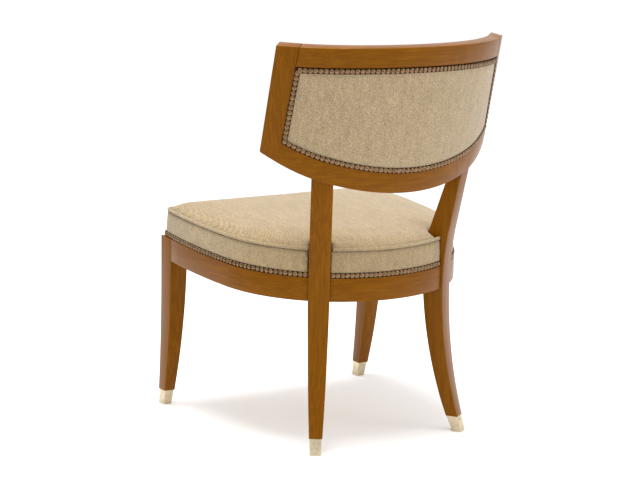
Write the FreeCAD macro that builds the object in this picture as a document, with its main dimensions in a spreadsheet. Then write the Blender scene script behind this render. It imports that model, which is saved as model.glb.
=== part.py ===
"""Klismos chair: sabre legs with metal ferrules, an upholstered seat and a curved, upholstered back.

Millimetres. +Z is up, the floor is z = 0 and the sitter looks along -Y, so the back is at +Y.
The chair is symmetric about x = 0, and "left" is the sitter's left, at +X. Left pieces are
modelled, and right pieces mirror them.
Every length and angle is a cell of the sheet called Sizes. A Size below is a number that
remembers its formula, so that the sketches and solids it is given to are bound to those cells.
"""
import FreeCAD, Part
import Sketcher
import math
import os

Vector = FreeCAD.Vector
Rotation = FreeCAD.Rotation
Placement = FreeCAD.Placement
UP = Vector(0, 0, 1)
ACROSS = Vector(1, 0, 0)

doc = FreeCAD.newDocument("KlismosChair")

# Driving dimensions, in millimetres and degrees
DIMENSIONS = [
    # Seat plan: the outer line of the seat rails, and the slope of the seat towards the back
    ("seat_back_y", 215.7),
    ("seat_back_radius", 324.0),
    ("seat_back_angle", 28.5),
    ("seat_side_radius", 250.0),
    ("seat_side_angle", 83.0),
    ("seat_flank_radius", 1140.0),
    ("seat_front_y", -286.8),
    ("seat_rake", 3.1),
    # Seat rails: a band of bare wood, and above it a rebated tongue for the upholstery
    ("rail_bottom_height", 330.5),
    ("rail_band_height", 50.0),
    ("rail_thickness", 24.0),
    ("rail_rebate", 7.6),
    ("rail_tongue_height", 18.0),
    # Front legs
    ("front_leg_proud_side", 4.5),
    ("front_leg_proud_front", 1.5),
    ("front_foot_inset", 22.4),
    ("front_foot_reach", 17.8),
    ("front_foot_width", 22.0),
    ("front_foot_depth", 25.4),
    ("front_top_width", 41.6),
    ("front_top_depth", 44.4),
    ("front_face_bend_height", 330.0),
    ("front_heel_bend_height", 370.0),
    ("front_side_bend_height", 390.0),
    # Rear legs: each lies in an upright plane turned outwards
    ("rear_leg_turn", 33.7),
    ("rear_leg_outset", 42.87),
    ("rear_leg_shift", 17.98),
    ("rear_foot_width", 25.1),
    ("rear_foot_depth", 23.8),
    ("rear_foot_outset", 10.8),
    ("rear_post_width", 45.8),
    ("rear_post_width_height", 315.0),
    ("rear_width_bow", 1.4),
    ("rear_outer_waist_height", 325.0),
    ("rear_outer_waist_inset", 41.2),
    ("rear_outer_bend_radius", 700.0),
    ("rear_outer_lean", 11.0),
    ("rear_inner_waist_height", 370.0),
    ("rear_inner_waist_inset", 87.5),
    ("rear_inner_bend_radius", 250.0),
    ("rear_inner_lean", 18.0),
    ("rear_post_drift", 4.0),
    ("rear_post_length", 660.0),
    # Ferrules
    ("ferrule_height", 34.5),
    ("ferrule_wall", 1.5),
    ("ferrule_base", 2.0),
    ("ferrule_overhang", 1.2),
    # Back: part of a cone that leans back; its own origin is the point it leans about
    ("back_overhang", 52.28),
    ("back_pivot_height", 695.0),
    ("back_lean", 10.1),
    ("back_radius_growth", 51.3),
    ("back_flare", 1.8),
    ("back_thickness", 26.0),
    ("back_top", 241.2),
    ("back_top_arch_radius", 1853.0),
    ("back_bottom", -76.4),
    ("back_bottom_middle_radius", 875.0),
    ("back_bottom_middle_half", 182.5),
    ("back_bottom_wing_radius", 300.0),
    ("crest_rail_height", 43.0),
    ("lower_rail_height", 44.0),
    # End stiles of the back: a slanting seam and a slanting end, square to the stile's bearing
    ("stile_bearing", 47.0),
    ("stile_seam_low", -15.7),
    ("stile_seam_high", -34.3),
    ("stile_end_low", 25.8),
    ("stile_end_high", 12.9),
    ("stile_low_level", -30.0),
    ("stile_high_level", 220.0),
    # Back panel: a board between an outside cover and an inside pad
    ("board_depth", 10.0),
    ("board_thickness", 6.0),
    ("outside_edge_depth", 1.0),
    ("outside_crown", 4.0),
    ("outside_plan_tighter", 8.5),
    ("pad_edge_proud", 5.0),
    ("pad_crown", 11.0),
    ("pad_plan_narrower", 3.0),
    ("pad_cover_thickness", 3.0),
    # Nail trims
    ("nail_trim_width", 11.5),
    ("nail_trim_thickness", 2.2),
    # Seat upholstery, with heights square to the sloping seat
    ("cover_inset", 4.0),
    ("cover_thickness", 3.0),
    ("boxing_height", 61.0),
    ("boxing_taper", 2.0),
    ("welt_radius", 3.6),
    ("seat_crown", 27.0),
    ("seat_crown_reach", 140.0),
    ("cushion_corner_radius", 8.0),
    ("post_notch_clearance", 1.2),
    # Deck, corner blocks and screws inside the seat frame
    ("deck_thickness", 12.0),
    ("deck_clearance", 0.2),
    ("block_height", 44.0),
    ("front_block_reach", 112.0),
    ("rear_block_half_length", 62.0),
    ("rear_block_depth", 22.0),
    ("screw_radius", 2.2),
    ("screw_head_corner", 5.0),
    ("screw_head_height", 4.0),
    ("front_screw_length", 34.0),
    ("rear_screw_length", 45.0),
    # Flat dowels and brads: thickness, width and length of each kind, and their play
    ("rail_dowel_thickness", 10.0),
    ("rail_dowel_width", 32.0),
    ("rail_dowel_length", 38.0),
    ("rear_rail_dowel_inset", 57.5),
    ("post_dowel_thickness", 10.0),
    ("post_dowel_width", 28.0),
    ("post_dowel_length", 44.0),
    ("post_joint_height", 583.0),
    ("post_joint_inset", 17.6),
    ("stile_dowel_thickness", 8.0),
    ("stile_dowel_width", 26.0),
    ("stile_dowel_length", 32.0),
    ("ferrule_pin_thickness", 1.8),
    ("ferrule_pin_width", 1.8),
    ("ferrule_pin_length", 9.0),
    ("ferrule_pin_height", 26.0),
    ("dowel_side_clearance", 0.05),
    ("dowel_end_clearance", 1.0),
]

sheet = doc.addObject("Spreadsheet::Sheet", "Sizes")
for row, (alias, number) in enumerate(DIMENSIONS, start=1):
    sheet.set("A%d" % row, str(number))
    sheet.setAlias("A%d" % row, alias)
doc.recompute()


class Size:
    """A number together with the sheet formula that gives it."""

    def __init__(self, number, formula=None):
        self.number = float(number)
        self.formula = repr(float(number)) if formula is None else formula

    def joined(self, other, sign, number):
        return Size(number, "(%s %s %s)" % (self.formula, sign, other.formula))

    def __add__(self, other):
        other = as_size(other)
        return self.joined(other, "+", self.number + other.number)

    def __sub__(self, other):
        other = as_size(other)
        return self.joined(other, "-", self.number - other.number)

    def __mul__(self, other):
        other = as_size(other)
        return self.joined(other, "*", self.number * other.number)

    def __truediv__(self, other):
        other = as_size(other)
        return self.joined(other, "/", self.number / other.number)

    def __neg__(self):
        return Size(0.0) - self


def as_size(value):
    return value if isinstance(value, Size) else Size(value)


def size(alias):
    return Size(sheet.get(alias), "Sizes." + alias)


def sine(angle):
    return Size(math.sin(math.radians(angle.number)), "sin(%s)" % angle.formula)


def cosine(angle):
    return Size(math.cos(math.radians(angle.number)), "cos(%s)" % angle.formula)


def tangent(angle):
    return Size(math.tan(math.radians(angle.number)), "tan(%s)" % angle.formula)


def root(value):
    return Size(math.sqrt(value.number), "sqrt(%s)" % value.formula)


def mix(low, high, share):
    """The value a share of the way from low to high."""
    return low + (high - low) * share


def bind(thing, property_name, value):
    thing.setExpression(property_name, as_size(value).formula)


def place(thing, position, axis=UP, angle=None):
    """Put an object at a position, turned by an angle about one axis, and bind both."""
    values = [as_size(value) for value in position]
    turn = 0.0 if angle is None else angle.number
    base = Vector(*[value.number for value in values])
    thing.Placement = Placement(base, Rotation(axis, turn))
    for letter, value in zip("xyz", values):
        bind(thing, "Placement.Base." + letter, value)
    if angle is not None:
        bind(thing, "Placement.Rotation.Angle", angle)
    return thing


# Drawing planes. Plan looks down. Front looks along +Y with z upwards. Side looks along -X, with
# world y to the right and z upwards
PLAN = Rotation()
FRONT = Rotation(Vector(1, 0, 0), 90)
SIDE = Rotation(Vector(1, 1, 1), 120)


def arc_between(start, end, radius, bows_left):
    chord = end - start
    left = Vector(-chord.y, chord.x, 0).normalize() * (1.0 if bows_left else -1.0)
    reach = math.sqrt(max(radius ** 2 - chord.Length ** 2 / 4.0, 0.0))
    return Part.Arc(start, (start + end) * 0.5 + left * (radius - reach), end)


def outline(name, corners, arcs=None, plane=PLAN):
    """Closed sketch through the corners.

    arcs maps a corner's number to the radius of the arc that starts there, and to whether it bows
    out to the left; every other side is straight. All corners and radii are bound.
    """
    arcs = arcs or {}
    sketch = doc.addObject("Sketcher::SketchObject", name)
    sketch.Placement = Placement(Vector(), plane)
    corners = [(as_size(x), as_size(y)) for x, y in corners]
    points = [Vector(x.number, y.number, 0) for x, y in corners]
    count = len(points)
    ends = []
    for index in range(count):
        start, end = points[index], points[(index + 1) % count]
        if index in arcs:
            radius, bows_left = arcs[index]
            sketch.addGeometry(arc_between(start, end, radius.number, bows_left), False)
        else:
            sketch.addGeometry(Part.LineSegment(start, end), False)
        forward = sketch.getPoint(index, 1).distanceToPoint(start) < 1e-3
        ends.append((1, 2) if forward else (2, 1))
    for index in range(count):
        following = (index + 1) % count
        sketch.addConstraint(Sketcher.Constraint(
            "Coincident", index, ends[index][1], following, ends[following][0]))
    for index, corner in enumerate(corners):
        for kind, value in zip(("DistanceX", "DistanceY"), corner):
            fixed = Sketcher.Constraint(kind, index, ends[index][0], value.number)
            sketch.setExpression("Constraints[%d]" % sketch.addConstraint(fixed), value.formula)
    for index, (radius, bows_left) in arcs.items():
        fixed = Sketcher.Constraint("Radius", index, radius.number)
        sketch.setExpression("Constraints[%d]" % sketch.addConstraint(fixed), radius.formula)
    return sketch


def extrude(name, sketch, forwards, backwards=0.0):
    """Solid from a sketch: so far along its normal, and so far the other way."""
    solid = doc.addObject("Part::Extrusion", name)
    solid.Base = sketch
    solid.DirMode = "Normal"
    solid.Solid = True
    bind(solid, "LengthFwd", forwards)
    bind(solid, "LengthRev", backwards)
    return solid


def revolve_half(name, sketch):
    """Solid from a sketch turned about Z, from +X through +Y to -X."""
    solid = doc.addObject("Part::Revolution", name)
    solid.Source = sketch
    solid.Axis = UP
    solid.Base = Vector(0, 0, 0)
    solid.Angle = 180.0
    solid.Solid = True
    return solid


def loft(name, sections):
    """Solid with straight sides from each section to the next."""
    solid = doc.addObject("Part::Loft", name)
    solid.Sections = list(sections)
    solid.Solid = True
    solid.Ruled = True
    return solid


def block(name, low, high):
    """Box between two opposite corners."""
    low, high = [as_size(value) for value in low], [as_size(value) for value in high]
    solid = doc.addObject("Part::Box", name)
    for property_name, start, end in zip(("Length", "Width", "Height"), low, high):
        bind(solid, property_name, end - start)
    return place(solid, low)


def gather(kind, name, shapes, property_name):
    result = doc.addObject(kind, name)
    setattr(result, property_name, list(shapes))
    return result


def common(name, *shapes):
    return gather("Part::MultiCommon", name, shapes, "Shapes")


def fuse(name, *shapes):
    return gather("Part::MultiFuse", name, shapes, "Shapes")


def group(name, *shapes):
    return gather("Part::Compound", name, shapes, "Links")


def cut(name, base, *tools):
    result = doc.addObject("Part::Cut", name)
    result.Base = base
    result.Tool = tools[0] if len(tools) == 1 else group(name + "_tools", *tools)
    return result


def mirror(name, source):
    result = doc.addObject("Part::Mirroring", name)
    result.Source = source
    result.Normal = ACROSS
    result.Base = Vector(0, 0, 0)
    return result


nodes = []


def finish(node, thing):
    """Name a finished sub-part."""
    thing.Label = node
    nodes.append(thing)
    return thing


def finish_pair(node, thing):
    """A left piece and the right piece that mirrors it."""
    finish(node + "_left", thing)
    finish(node + "_right", mirror(node + "_right", thing))


# Length of tools that must reach right through the chair
REACH = Size(900.0)


# Seat plan

def seat_curves(inset, rounded=False):
    """Left half of the seat's outer line, moved inwards by inset, from the front to the back.

    A flat flank arc, a tight side arc and the back arc, each tangent to the next; the cushion also
    has a rounded front corner. Each curve is its centre, its radius and the point it starts from.
    """
    inset = as_size(inset)
    back, side = size("seat_back_radius"), size("seat_side_radius")
    flank = size("seat_flank_radius")
    angle, end_angle = size("seat_back_angle"), size("seat_side_angle")
    back_centre = (Size(0.0), size("seat_back_y") - back)
    side_centre = ((back - side) * sine(angle), back_centre[1] + (back - side) * cosine(angle))
    flank_centre = (side_centre[0] - (flank - side) * sine(end_angle),
                    side_centre[1] - (flank - side) * cosine(end_angle))
    front = size("seat_front_y") + inset
    back, side, flank = back - inset, side - inset, flank - inset
    round_by = size("cushion_corner_radius") if rounded else Size(0.0)
    reach = flank - round_by
    rise = front + round_by - flank_centre[1]
    run = root(reach * reach - rise * rise)
    stretch = flank / reach
    curves = [(flank_centre, flank, (flank_centre[0] + run * stretch,
                                     flank_centre[1] + rise * stretch)),
              (side_centre, side, (side_centre[0] + side * sine(end_angle),
                                   side_centre[1] + side * cosine(end_angle))),
              (back_centre, back, (back * sine(angle), back_centre[1] + back * cosine(angle)))]
    if rounded:
        corner_centre = (flank_centre[0] + run, front + round_by)
        curves.insert(0, (corner_centre, round_by, (corner_centre[0], front)))
    return curves


def seat_plan(name, inset, rounded=False):
    """Closed outer line of the seat: both halves, and a straight front."""
    curves = seat_curves(inset, rounded)
    half = [start for centre, radius, start in curves]
    radii = [radius for centre, radius, start in curves]
    radii += reversed(radii[:-1])
    corners = half + [(-x, y) for x, y in reversed(half)]
    return outline(name, corners, {index: (radius, False) for index, radius in enumerate(radii)})


def seat_prism(name, inset, rounded=False):
    """Upright solid over the seat plan, moved inwards by inset."""
    return extrude(name, seat_plan(name + "_plan", inset, rounded), REACH)


def seat_frame(thing, y=0.0, height=0.0):
    """Set something on the seat's slope; heights count from the bottom of the rails."""
    rake = size("seat_rake")
    height = as_size(height)
    return place(thing, (0.0, as_size(y) + height * sine(rake),
                         size("rail_bottom_height") + height * cosine(rake)),
                 Vector(-1, 0, 0), rake)


def seat_slab(name, low, high):
    """Everything between two levels square to the sloping seat."""
    low, high = as_size(low), as_size(high)
    slab = doc.addObject("Part::Box", name)
    bind(slab, "Length", REACH)
    bind(slab, "Width", REACH)
    bind(slab, "Height", high - low)
    half = REACH / 2.0
    place(slab, (-half, -half, low))
    return seat_frame(group(name + "_raked", slab))


band = size("rail_band_height")
tongue = band + size("rail_tongue_height")
outer_prism = seat_prism("rail_outer", 0.0)
rebate_prism = seat_prism("rail_rebated", size("rail_rebate"), rounded=True)
inner_prism = seat_prism("rail_inner", size("rail_thickness"))
band_slab = seat_slab("band_slab", 0.0, band)
tongue_slab = seat_slab("tongue_slab", band, tongue)
tongue_region = common("tongue_region", rebate_prism, tongue_slab)
rail_ring = cut("rail_ring", fuse("rail_section", common("rail_band", outer_prism, band_slab),
                                  tongue_region), inner_prism)


# Sabre faces

class SabreFace:
    """A face that is upright at its bend height and sweeps away below it to the foot."""

    def __init__(self, foot, top, bend_height):
        self.foot, self.top, self.bend_height = foot, top, bend_height
        self.grows = top.number > foot.number
        kick = top - foot if self.grows else foot - top
        self.radius = (bend_height * bend_height + kick * kick) / (kick * 2.0)

    def at(self, level):
        drop = self.bend_height - level
        sweep = self.radius - root(self.radius * self.radius - drop * drop)
        return self.top - sweep if self.grows else self.top + sweep


foot_step = size("ferrule_wall") + size("ferrule_overhang")
sole, ledge = size("ferrule_base"), size("ferrule_height")


def foot_socket(low_face, high_face, overhang):
    """One view of a ferrule's outside: four corners from the floor to its rim."""
    return [(low_face(Size(0.0)) + overhang, 0.0), (high_face(Size(0.0)) - overhang, 0.0),
            (high_face(ledge) - overhang, ledge), (low_face(ledge) + overhang, ledge)]


# Front legs

def front_leg_view(name, low, high, plane):
    """One view of a front leg: the foot is stepped in to fit the ferrule."""
    corners = [(low.at(sole) + foot_step, sole), (high.at(sole) - foot_step, sole),
               (high.at(ledge) - foot_step, ledge), (high.at(ledge), ledge),
               (high.top, high.bend_height), (high.top, REACH / 2.0), (low.top, REACH / 2.0),
               (low.top, low.bend_height), (low.at(ledge), ledge),
               (low.at(ledge) + foot_step, ledge)]
    arcs = {3: (high.radius, not high.grows), 7: (low.radius, low.grows)}
    return outline(name, corners, arcs, plane)


half_width, half_depth = size("front_foot_width") / 2.0, size("front_foot_depth") / 2.0
plan_corner = seat_curves(0.0)[0][2]
front_outer_x = plan_corner[0] + size("front_leg_proud_side")
front_inner_x = front_outer_x - size("front_top_width")
front_face_y = plan_corner[1] - size("front_leg_proud_front")
front_heel_y = front_face_y + size("front_top_depth")
front_foot_x = front_outer_x - size("front_foot_inset")
front_foot_y = front_face_y - size("front_foot_reach")
leg_front = SabreFace(front_foot_y - half_depth, front_face_y, size("front_face_bend_height"))
leg_heel = SabreFace(front_foot_y + half_depth, front_heel_y, size("front_heel_bend_height"))
leg_inner = SabreFace(front_foot_x - half_width, front_inner_x, size("front_side_bend_height"))
leg_outer = SabreFace(front_foot_x + half_width, front_outer_x, size("front_side_bend_height"))
front_leg_square = common(
    "front_leg_square",
    extrude("front_leg_side", front_leg_view("front_leg_side_view", leg_front, leg_heel, SIDE), REACH),
    extrude("front_leg_face", front_leg_view("front_leg_face_view", leg_inner, leg_outer, FRONT), REACH))
front_leg_limit = fuse("front_leg_limit", seat_slab("below_cover", -REACH / 2.0, band), tongue_region)
front_leg_wood = common("front_leg_wood", front_leg_square, front_leg_limit)

overhang = size("ferrule_overhang")
front_ferrule_solid = common(
    "front_ferrule_solid",
    extrude("front_ferrule_side", outline("front_ferrule_side_view", foot_socket(
        leg_front.at, leg_heel.at, overhang), plane=SIDE), REACH),
    extrude("front_ferrule_face", outline("front_ferrule_face_view", foot_socket(
        leg_inner.at, leg_outer.at, overhang), plane=FRONT), REACH))


# Rear legs, drawn in their own upright plane: x across the leg, y outwards from the seat

rear_outer = SabreFace(size("rear_foot_outset"), -size("rear_outer_waist_inset"),
                       size("rear_outer_waist_height"))
rear_inner = SabreFace(size("rear_foot_outset") - size("rear_foot_depth"),
                       -size("rear_inner_waist_inset"), size("rear_inner_waist_height"))
post_top = size("rear_post_length")
half_foot, half_post = size("rear_foot_width") / 2.0, size("rear_post_width") / 2.0


def rear_half_width(level):
    share = as_size(level) / size("rear_post_width_height")
    bow = size("rear_width_bow") * share * (Size(1.0) - share) * 4.0
    return mix(half_foot, half_post, share) + bow


def post_bend(face, bend_radius, lean):
    """Where the bend above the waist ends, and where the straight face above it tops out."""
    bend = (face.top + bend_radius * (Size(1.0) - cosine(lean)),
            face.bend_height + bend_radius * sine(lean))
    return bend, (bend[0] + (post_top - bend[1]) * tangent(lean), post_top)


def rear_leg_square(name, grow=0.0):
    """Rear leg with square edges, up past the back's lower rail, grown sideways if asked."""
    grow = as_size(grow)
    outer_radius, inner_radius = size("rear_outer_bend_radius"), size("rear_inner_bend_radius")
    outer_bend, outer_top = post_bend(rear_outer, outer_radius, size("rear_outer_lean"))
    inner_bend, inner_top = post_bend(rear_inner, inner_radius, size("rear_inner_lean"))
    step_in = foot_step - grow
    corners = [(rear_inner.at(sole) + step_in, sole), (rear_outer.at(sole) - step_in, sole),
               (rear_outer.at(ledge) - step_in, ledge), (rear_outer.at(ledge) + grow, ledge),
               (rear_outer.top + grow, rear_outer.bend_height),
               (outer_bend[0] + grow, outer_bend[1]), (outer_top[0] + grow, post_top),
               (inner_top[0] - grow, post_top), (inner_bend[0] - grow, inner_bend[1]),
               (rear_inner.top - grow, rear_inner.bend_height),
               (rear_inner.at(ledge) - grow, ledge), (rear_inner.at(ledge) + step_in, ledge)]
    arcs = {3: (rear_outer.radius, True), 4: (outer_radius, True),
            8: (inner_radius, False), 9: (rear_inner.radius, False)}
    side = extrude(name + "_side", outline(name + "_side_view", corners, arcs, SIDE), REACH, REACH)
    rise, bow = half_post - half_foot, size("rear_width_bow")
    level = size("rear_post_width_height")
    bow_radius = ((rise * rise + level * level) / 4.0 + bow * bow) / (bow * 2.0)
    foot_half, ledge_half = rear_half_width(sole) - step_in, rear_half_width(ledge)
    drift = size("rear_post_drift")
    widths = [(-foot_half, sole), (foot_half, sole), (ledge_half - step_in, ledge),
              (ledge_half + grow, ledge), (half_post + grow, level),
              (half_post - drift + grow, post_top), (-half_post - drift - grow, post_top),
              (-half_post - grow, level), (-ledge_half - grow, ledge),
              (-ledge_half + step_in, ledge)]
    bows = {3: (bow_radius, False), 7: (bow_radius, False)}
    face = extrude(name + "_face", outline(name + "_face_view", widths, bows, FRONT), REACH, REACH)
    return common(name, side, face)


turn = size("rear_leg_turn")
rear_reach = size("seat_back_radius") + size("rear_leg_outset")
rear_origin = (rear_reach * sine(turn) - size("rear_leg_shift") * cosine(turn),
               size("seat_back_y") - size("seat_back_radius") + rear_reach * cosine(turn)
               + size("rear_leg_shift") * sine(turn))


def rear_frame(thing):
    """Turn something drawn in the rear leg's plane to the left rear leg's place."""
    return place(thing, (rear_origin[0], rear_origin[1], 0.0), Vector(0, 0, -1), turn)


rear_leg_long = rear_frame(rear_leg_square("rear_leg_long"))
notch_left = rear_frame(rear_leg_square("post_notch", size("post_notch_clearance")))
notch_right = mirror("post_notch_right", notch_left)
rear_ferrule_solid = rear_frame(common(
    "rear_ferrule_solid",
    extrude("rear_ferrule_side", outline("rear_ferrule_side_view", foot_socket(
        rear_inner.at, rear_outer.at, overhang), plane=SIDE), REACH, REACH),
    extrude("rear_ferrule_face", outline("rear_ferrule_face_view", foot_socket(
        lambda level: -rear_half_width(level), rear_half_width, overhang), plane=FRONT),
        REACH, REACH)))


# Back: built upright round its own axis, then leaned back

LOW, HIGH = Size(-140.0), Size(300.0)


back_radius = size("seat_back_radius") + size("back_radius_growth")
back_pivot_y = size("seat_back_y") + size("back_overhang") - back_radius * cosine(size("back_lean"))


def back_frame(thing):
    return place(thing, (0.0, back_pivot_y, size("back_pivot_height")), Vector(-1, 0, 0),
                 size("back_lean"))


def cone_radius(level, depth):
    return back_radius + as_size(level) * tangent(size("back_flare")) - depth


def back_shell(name, outside_depth, inside_depth):
    """Half ring between two depths below the back's outer face."""
    corners = [(cone_radius(LOW, inside_depth), LOW), (cone_radius(LOW, outside_depth), LOW),
               (cone_radius(HIGH, outside_depth), HIGH), (cone_radius(HIGH, inside_depth), HIGH)]
    return revolve_half(name, outline(name + "_section", corners, plane=FRONT))


def back_view(name, bottom_rise, top_drop):
    """Everything between the arched under edge and the arched top, each moved inwards."""
    middle, half = size("back_bottom_middle_radius"), size("back_bottom_middle_half")
    wing, arch = size("back_bottom_wing_radius"), size("back_top_arch_radius")
    bottom = size("back_bottom") + bottom_rise
    reach = root(middle * middle - half * half)
    joint_z = bottom + middle - reach
    wing_x = half - half * (wing / middle)
    wing_z = joint_z + reach * (wing / middle)
    end_x = wing_x + wing * 0.9
    end_z = wing_z - wing * math.sqrt(1.0 - 0.9 ** 2)
    end_top = size("back_top") - top_drop - arch + root(arch * arch - end_x * end_x)
    corners = [(-half, joint_z), (half, joint_z), (end_x, end_z), (end_x, end_top),
               (-end_x, end_top), (-end_x, end_z)]
    arcs = {0: (middle, False), 1: (wing, False), 3: (arch, False), 5: (wing, False)}
    return extrude(name, outline(name + "_front_view", corners, arcs, FRONT), 0.0, REACH)


def stile_line(low_alias, high_alias, level, shift=0.0):
    """Place of a slanting line of the stile at a level, in the stile's own view."""
    low_level, high_level = size("stile_low_level"), size("stile_high_level")
    share = (as_size(level) - low_level) / (high_level - low_level)
    return mix(size(low_alias), size(high_alias), share) + shift


def stile_frame(thing):
    return place(thing, (0.0, 0.0, 0.0), Vector(0, 0, -1), size("stile_bearing"))


def past_seam(name, shift=0.0):
    """Everything beyond the left stile's seam, or beyond a line moved along from it."""
    seam = ("stile_seam_low", "stile_seam_high")
    corners = [(stile_line(*seam, LOW, shift), LOW), (REACH / 2.0, LOW), (REACH / 2.0, HIGH),
               (stile_line(*seam, HIGH, shift), HIGH)]
    return stile_frame(extrude(name, outline(name + "_view", corners, plane=FRONT), 0.0, REACH))


def between_seams(name, base, shift=0.0):
    """What lies between the two seams, or between lines moved in from them."""
    left = past_seam(name + "_left", -as_size(shift))
    return cut(name, base, left, mirror(name + "_right", left))


end = ("stile_end_low", "stile_end_high")
before_end = stile_frame(extrude("before_end", outline("before_end_view", [
    (-REACH / 2.0, LOW), (stile_line(*end, LOW), LOW), (stile_line(*end, HIGH), HIGH),
    (-REACH / 2.0, HIGH)], plane=FRONT), 0.0, REACH))

thickness = size("back_thickness")
frame_ring = common("frame_ring", back_shell("back_ring", Size(0.0), thickness),
                    back_view("back_outline", Size(0.0), Size(0.0)))
stile_upright = common("stile_upright", frame_ring, past_seam("stile_cut"), before_end)
opening = back_view("opening", size("lower_rail_height"), size("crest_rail_height"))
rails_upright = cut("rails_upright", between_seams("rails_and_opening", frame_ring), opening)
middle_level = (size("back_top") + size("back_bottom")) / 2.0
upper_half = block("upper_half", (-REACH / 2.0, 0.0, middle_level),
                   (REACH / 2.0, REACH, middle_level + REACH))
lower_half = block("lower_half", (-REACH / 2.0, 0.0, middle_level - REACH),
                   (REACH / 2.0, REACH, middle_level))
crest_upright = common("crest_upright", rails_upright, upper_half)
lower_upright = common("lower_upright", rails_upright, lower_half)

# The posts are sawn off along the under edge of the lower rail
under_rail = back_frame(cut("under_rail", block(
    "under_rail_block", (-REACH / 2.0, 0.0, -REACH), (REACH / 2.0, REACH, 0.0)),
    back_view("under_rail_view", Size(0.0), Size(0.0))))
rear_leg_wood = common("rear_leg_wood", rear_leg_long, under_rail)


# Flat dowels and brads

def dowel_and_slot(name, kind, position, axis=UP, angle=None, standing=False):
    """A flat dowel with its middle at a position, and the slot it sits in.

    It is drawn with its length along z and its thickness along x, or along y where standing.
    """
    results = []
    for suffix, side_play, end_play in (("_dowel", Size(0.0), Size(0.0)),
                                        ("_slot", size("dowel_side_clearance"),
                                         size("dowel_end_clearance"))):
        half = [size(kind + "_thickness") / 2.0 + side_play, size(kind + "_width") / 2.0 + side_play,
                size(kind + "_length") / 2.0 + end_play]
        if standing:
            half[0], half[1] = half[1], half[0]
        solid = block(name + suffix, [-value for value in half], half)
        results.append(place(group(name + suffix + "_set", solid), position, axis, angle))
    return results


def dowel_row(name, kind, positions, axis=UP, angle=None, standing=False):
    """Flat dowels at several positions, and their slots, each gathered in one object."""
    pairs = [dowel_and_slot("%s_%d" % (name, number), kind, position, axis, angle, standing)
             for number, position in enumerate(positions, start=1)]
    return (group(name + "_dowels", *[dowel for dowel, slot in pairs]),
            group(name + "_slots", *[slot for dowel, slot in pairs]))


QUARTER = Size(90.0)
band_middle = band / 2.0


def band_height(y):
    """Height of the middle of the rails' bare band at a place along y."""
    return size("rail_bottom_height") + band_middle - as_size(y) * tangent(size("seat_rake"))


rail_centre_in = size("rail_thickness") / 2.0
front_joint_y = size("seat_front_y") + rail_centre_in
front_rail_dowel, front_rail_slot = dowel_and_slot(
    "front_rail", "rail_dowel", (front_inner_x, front_joint_y, band_height(front_joint_y)),
    Vector(0, 1, 0), QUARTER, standing=True)
side_rail_dowel, side_rail_slot = dowel_and_slot(
    "side_rail", "rail_dowel",
    (plan_corner[0] - rail_centre_in, front_heel_y, band_height(front_heel_y)), ACROSS, QUARTER)
rear_joint_y = rear_origin[1] - size("rear_rail_dowel_inset") * cosine(turn)
rear_rail_dowels, rear_rail_slots = [rear_frame(row) for row in dowel_row(
    "rear_rail", "rail_dowel",
    [(side, -size("rear_rail_dowel_inset"), band_height(rear_joint_y))
     for side in (-half_post, half_post)], Vector(0, 1, 0), QUARTER, standing=True)]
post_lean = (size("rear_outer_lean") + size("rear_inner_lean")) / 2.0
post_dowel, post_slot = [rear_frame(row) for row in dowel_row(
    "post_joint", "post_dowel",
    [(-size("rear_post_drift"), -size("post_joint_inset"), size("post_joint_height"))],
    Vector(-1, 0, 0), post_lean, standing=True)]
crest_joint = size("stile_high_level") - size("crest_rail_height") / 2.0
lower_joint = size("stile_low_level") + size("lower_rail_height") / 2.0
stile_dowels_upright, stile_slots_upright = [stile_frame(row) for row in dowel_row(
    "stile_joint", "stile_dowel",
    [(stile_line("stile_seam_low", "stile_seam_high", level), cone_radius(level, thickness / 2.0),
      level) for level in (crest_joint, lower_joint)], Vector(0, 1, 0), QUARTER, standing=True)]


def both_sides(name, left):
    return group(name, left, mirror(name + "_mirrored", left))


rear_slots_both = both_sides("rear_slots_both", rear_rail_slots)
front_slots_both = both_sides("front_slots_both", front_rail_slot)
post_slots_both = both_sides("post_slots_both", post_slot)
stile_slots_both = both_sides("stile_slots_both", stile_slots_upright)

# Brads that pin the ferrules, one through the heel of each
pin_length, pin_height = size("ferrule_pin_length"), size("ferrule_pin_height")
front_pin, front_pin_hole = dowel_and_slot(
    "front_ferrule_pin", "ferrule_pin",
    (front_foot_x, leg_heel.at(pin_height) - overhang - pin_length / 2.0, pin_height),
    ACROSS, QUARTER)
rear_pin, rear_pin_hole = [rear_frame(row) for row in dowel_row(
    "rear_ferrule_pin", "ferrule_pin",
    [(0.0, rear_inner.at(pin_height) + overhang + pin_length / 2.0, pin_height)],
    ACROSS, QUARTER)]

# Corner block screws, one through each block into its leg
def screw_and_hole(name, length, position, axis, frame=None):
    """Six-sided head on the block's face, shank turned a quarter about the axis, and its hole."""
    results = []
    for suffix, gap in (("_screw", 0.0), ("_hole", size("dowel_side_clearance"))):
        shank = doc.addObject("Part::Cylinder", name + suffix + "_shank")
        bind(shank, "Radius", size("screw_radius") + gap)
        bind(shank, "Height", length + gap)
        solid = shank
        if suffix == "_screw":
            head = doc.addObject("Part::Prism", name + suffix + "_head")
            head.Polygon = 6
            bind(head, "Circumradius", size("screw_head_corner"))
            bind(head, "Height", size("screw_head_height"))
            place(head, (0.0, 0.0, -size("screw_head_height")))
            solid = fuse(name + suffix + "_whole", shank, head)
        solid = place(group(name + suffix, solid), position, axis, QUARTER)
        results.append(solid if frame is None else frame(group(name + suffix + "_set", solid)))
    return results


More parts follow.
